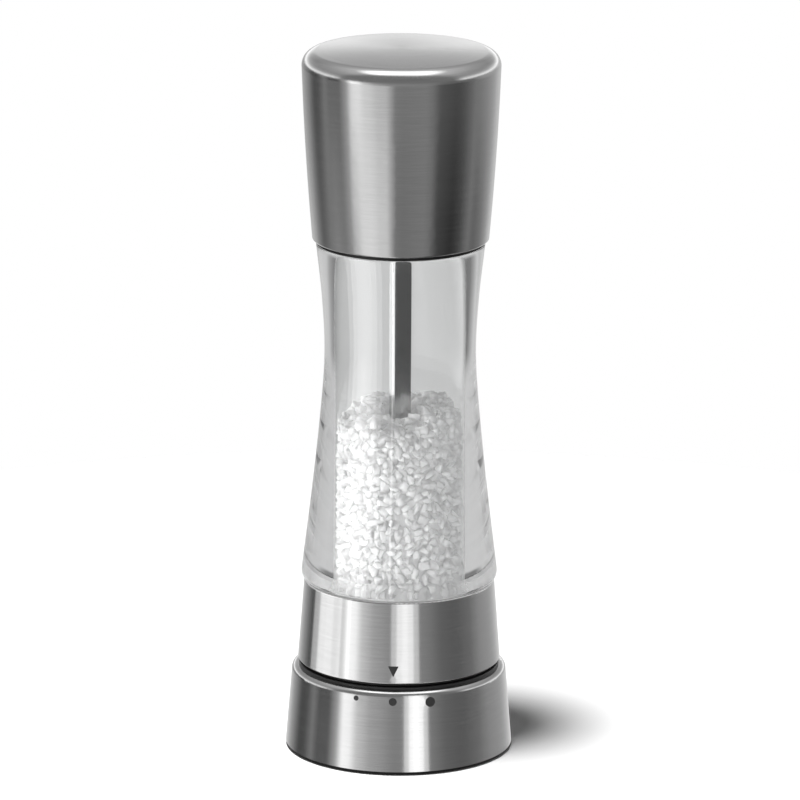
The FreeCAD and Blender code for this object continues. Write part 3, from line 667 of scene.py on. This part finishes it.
def hopper_outline():
    overhang = LIP_RADIUS - WAIST_RADIUS
    waist = HOPPER_SHOULDER + WAIST_RISE
    edge = HOPPER_RIM - EDGE_ROUNDING
    flare = [Vector((WAIST_RADIUS + out * overhang, HOPPER_SHOULDER + up * WAIST_RISE)) for out, up in FLARE]
    side = smooth_points(
        [Vector((LIP_RADIUS, HOPPER_SHOULDER + LIP_RISE))] + flare + [
            Vector((WAIST_RADIUS, waist)),
            Vector(((WAIST_RADIUS + RIM_RADIUS) / 2 - UPPER_HOLLOW, (waist + HOPPER_RIM) / 2)),
            Vector((RIM_RADIUS, edge))], SIDE_STEPS)
    lip = [(LIP_RADIUS - inset, HOPPER_SHOULDER + rise) for inset, rise in LIP_ROUNDING]
    rim = rounded_corner((RIM_RADIUS - EDGE_ROUNDING, edge), EDGE_ROUNDING, 0, 90)
    inner_rim = rounded_corner((BORE_RIM + EDGE_ROUNDING, edge), EDGE_ROUNDING, 90, 180)
    bore = [(BORE_RIM + (BORE_FOOT - BORE_RIM) * i / BORE_STEPS,
             edge + (HOPPER_SHOULDER - edge) * i / BORE_STEPS) for i in range(1, BORE_STEPS + 1)]
    neck = [(BORE_FOOT, HOPPER_FOOT), (NECK_RADIUS, HOPPER_FOOT), (NECK_RADIUS, HOPPER_SHOULDER)]
    return lip + [tuple(p) for p in side[:-1]] + rim + inner_rim + bore + neck


def frost_neck(piece):
    """The neck and the face on the seal are blasted, so that the cement grips them."""
    piece.data.materials.append(frosted)
    for face in piece.data.polygons:
        if face.center.z < HOPPER_SHOULDER + 0.01 * MM and face.center.xy.length > BORE_FOOT:
            face.material_index = 1


hopper = spun("hopper_clear", hopper_outline(), HOPPER_STEPS, "body", acrylic)
frost_neck(hopper)
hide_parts("hopper_body")
add_soft_strip("hopper_wide_strip", hopper, degrees=-55, width_degrees=56, glow=5.6, slats=7)
add_soft_strip("hopper_thin_strip", hopper, degrees=-11, width_degrees=2.0, glow=5.0, slats=1)

# %% [markdown]
# Coarse salt is broken crystals: some are still cubes with chipped corners, and most are lumps
# with flat breaks.  A few dozen of each are made once, and then thousands of turned and scaled
# copies fill the outside of the heap and its top.  Nobody can see past the first layers, so a
# plain core stands behind them, in a darker salt: painted shade for the depth of the heap.

# %% Salt finish
# the salt's painted glow: emission that stands in for light scattered through the heap
SALT_PAINTED_GLOW = 0.065


def salt_finish(name, tone, shade):
    material, recipe, shader = new_finish(name, {"IOR": 1.54, "Transmission Weight": 0.08,
                                                 "Subsurface Weight": 1.0, "Subsurface Scale": 0.003,
                                                 "Subsurface Radius": (1, 1, 1)})
    x, y, z = recipe.place()
    cloud = recipe.noise(recipe.vector(x, y, z), detail=3, scale=420)
    frost = recipe.noise(recipe.vector(x, y, z), detail=4, scale=2200)
    colour = recipe.blend(cloud, grey(shade), grey(tone))
    feed(recipe, shader, Base_Color=colour, Roughness=0.22 + 0.3 * frost,
         Normal=bump(recipe, frost, 0.15, 0.04 * MM))
    # painted glow, standing in for light scattered inside the salt
    painted_glow(material, SALT_PAINTED_GLOW)
    return material


salt = salt_finish("salt_crystal", 0.99, 0.93)
# The core's salt is darker than the crystals: painted shade for the depth between them.
salt_core_painted_shade = salt_finish("salt_core_painted_shade", 0.92, 0.80)

# %% Crystal shapes
SEED = 4271
CRYSTAL_KINDS = 24
CRYSTAL_CREASE = math.radians(100)
BREAK_DEPTH = (0.40, 0.66)      # how far from the middle a break passes
dice = random.Random(SEED)


def crystal_mesh(index):
    """One crystal that just fits a ball of radius 1: a cube broken along a few random planes."""
    bm = bmesh.new()
    bmesh.ops.create_cube(bm, size=1.5)
    for _ in range(3 + index % 4):
        normal = Vector([dice.gauss(0, 1) for _ in range(3)]).normalized()
        cut = bmesh.ops.bisect_plane(bm, geom=list(bm.verts) + list(bm.edges) + list(bm.faces), dist=1e-5,
                                     plane_co=normal * dice.uniform(*BREAK_DEPTH), plane_no=normal,
                                     clear_outer=True)
        rim = [edge for edge in cut["geom_cut"] if isinstance(edge, bmesh.types.BMEdge)]
        bmesh.ops.holes_fill(bm, edges=rim)
    bmesh.ops.scale(bm, vec=(1.0, dice.uniform(0.6, 1.0), dice.uniform(0.4, 0.8)), verts=bm.verts)
    reach = max(vert.co.length for vert in bm.verts)
    bmesh.ops.scale(bm, vec=(1 / reach, 1 / reach, 1 / reach), verts=bm.verts)
    bmesh.ops.triangulate(bm, faces=bm.faces)
    bmesh.ops.recalc_face_normals(bm, faces=bm.faces)
    for face in bm.faces:
        face.smooth = True
    mesh = bpy.data.meshes.new("crystal_%02d" % index)
    bm.to_mesh(mesh)
    bm.free()
    mesh.set_sharp_from_angle(angle=CRYSTAL_CREASE)
    return mesh


crystals = [crystal_mesh(i) for i in range(CRYSTAL_KINDS)]
print("crystal shapes:", len(crystals), "with", sum(len(m.polygons) for m in crystals), "faces")

# %% Where the crystals lie
salt_low, salt_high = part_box("salt_fill")
SALT_FOOT = salt_low[2]
SALT_TOP = salt_high[2]
ROD_CLEAR = 3.55 * MM
WALL_CLEAR = 0.16 * MM
CRYSTAL_SMALL = 1.3 * MM
CRYSTAL_LARGE = 3.0 * MM
WALL_LAYERS = 2
LAYER_STEP = 1.5 * MM
ROW_STEP = 2.0 * MM
ROW_COUNT = 50                  # crystals in one turn of the wall
ROW_JITTER = 0.9 * MM
TURN_JITTER = 0.45
TOP_COUNT = 900
TOP_DEPTH = (0.2, 2.6)          # millimetres that a loose crystal sits below the surface


def bore_radius(height):
    share = min(1.0, max(0.0, (height - HOPPER_SHOULDER) / (HOPPER_RIM - HOPPER_SHOULDER)))
    return BORE_FOOT + (BORE_RIM - BORE_FOOT) * share


def heap_level(x, y):
    """Height of the heap's surface, with soft hills and a dip round the rod."""
    radius = math.hypot(x, y) / BORE_RIM
    hills = 0.9 * math.sin(260 * x + 1.1) * math.cos(210 * y - 0.5) + 0.5 * math.sin(430 * x - 300 * y)
    return SALT_TOP - (1.6 - 1.1 * radius ** 2 - 0.9 * hills - 0.06 * (x + 1.5 * y) / MM) * MM


def wall_places():
    """Jittered layers against the bore."""
    for layer in range(WALL_LAYERS):
        height = SALT_FOOT + ROW_STEP
        while height < SALT_TOP + ROW_STEP / 2:
            for i in range(ROW_COUNT):
                size = dice.uniform(CRYSTAL_SMALL, CRYSTAL_LARGE)
                angle = TURN * (i + dice.uniform(-TURN_JITTER, TURN_JITTER)) / ROW_COUNT
                level = height + dice.uniform(-ROW_JITTER, ROW_JITTER)
                radius = bore_radius(level) - WALL_CLEAR - size - layer * LAYER_STEP
                x, y = radius * math.cos(angle), radius * math.sin(angle)
                if level + 0.6 * size < heap_level(x, y):
                    yield x, y, level, size
            height += ROW_STEP


def top_places():
    """The loose surface, thrown at random and kept off the rod."""
    kept = 0
    while kept < TOP_COUNT:
        size = dice.uniform(CRYSTAL_SMALL, CRYSTAL_LARGE * 1.1)
        reach = BORE_RIM - WALL_CLEAR - size
        radius = reach * math.sqrt(dice.random())
        angle = TURN * dice.random()
        if radius < ROD_CLEAR + size:
            continue
        x, y = radius * math.cos(angle), radius * math.sin(angle)
        yield x, y, heap_level(x, y) - dice.uniform(*TOP_DEPTH) * MM, size
        kept += 1


def build_salt():
    bm = bmesh.new()
    count = 0
    for places in (wall_places, top_places):
        for x, y, z, size in places():
            z = max(z, SALT_FOOT + size)
            turn = Euler([dice.uniform(0, TURN) for _ in range(3)]).to_matrix().to_4x4()
            where = Matrix.Translation((x, y, z)) @ turn @ Matrix.Scale(size, 4)
            shape = crystals[dice.randrange(CRYSTAL_KINDS)]
            shape.transform(where)
            bm.from_mesh(shape)
            shape.transform(where.inverted())
            count += 1
    mesh = bpy.data.meshes.new("salt_crystals")
    bm.to_mesh(mesh)
    bm.free()
    mesh.materials.append(salt)
    heap = bpy.data.objects.new("salt_crystals", mesh)
    bpy.context.scene.collection.objects.link(heap)
    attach(heap, "body")
    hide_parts("salt_fill")
    print("salt:", count, "crystals,", len(mesh.polygons), "faces")


build_salt()
for shape in crystals:
    bpy.data.meshes.remove(shape)

# %% Core of the heap
CORE_INSET = 2.4 * MM
CORE_TOP_INSET = 2.1 * MM
CORE_DROP = 6.2 * MM            # its outer edge below the top of the heap
CORE_CROWN = 2.2 * MM           # and its middle above that edge
CORE_STEPS = 96
core_edge = SALT_TOP - CORE_DROP
core_outline = [(ROD_CLEAR, SALT_FOOT), (BORE_FOOT - CORE_INSET, SALT_FOOT),
                (BORE_FOOT - CORE_INSET, HOPPER_SHOULDER), (BORE_RIM - CORE_TOP_INSET, core_edge),
                (0.6 * BORE_RIM, core_edge + 1.6 * MM), (ROD_CLEAR, core_edge + CORE_CROWN)]
spun("salt_core", core_outline, CORE_STEPS, "body", salt_core_painted_shade)

# %% [markdown]
# Every node of the frame gets its finish here, by the piece that it is.  The black plastic is for
# every moulding that isn't listed.

# %% Give each node its finish
FINISHES = {
    "cap_shell": steel, "collar_shell": steel, "base_shell": steel,
    "drive_rod": rod_metal,
    "grind_marks": ink, "pointer_mark": ink,
    "slip_ring": slip_plastic,
    "foot_ring": rubber, "hopper_seal": silicone, "grinder_housing": housing_painted_groove_shade,
    "outer_burr": ceramic, "inner_burr": ceramic,
    "burr_retainer": grey_plastic, "shaft_spider": grey_plastic, "rotor_hub": grey_plastic,
}
for part in ("spider_screws", "upper_clip", "lower_clip", "spring_washer", "burr_spring", "socket_clip",
             "snap_ring", "detent_spring", "cam_pins", "thrust_washer"):
    FINISHES[part] = spring_metal
for name, piece in nodes.items():
    material = FINISHES.get(name, black_plastic)
    for slot in piece.material_slots:
        slot.material = material
print("finishes given to", len(nodes), "nodes")
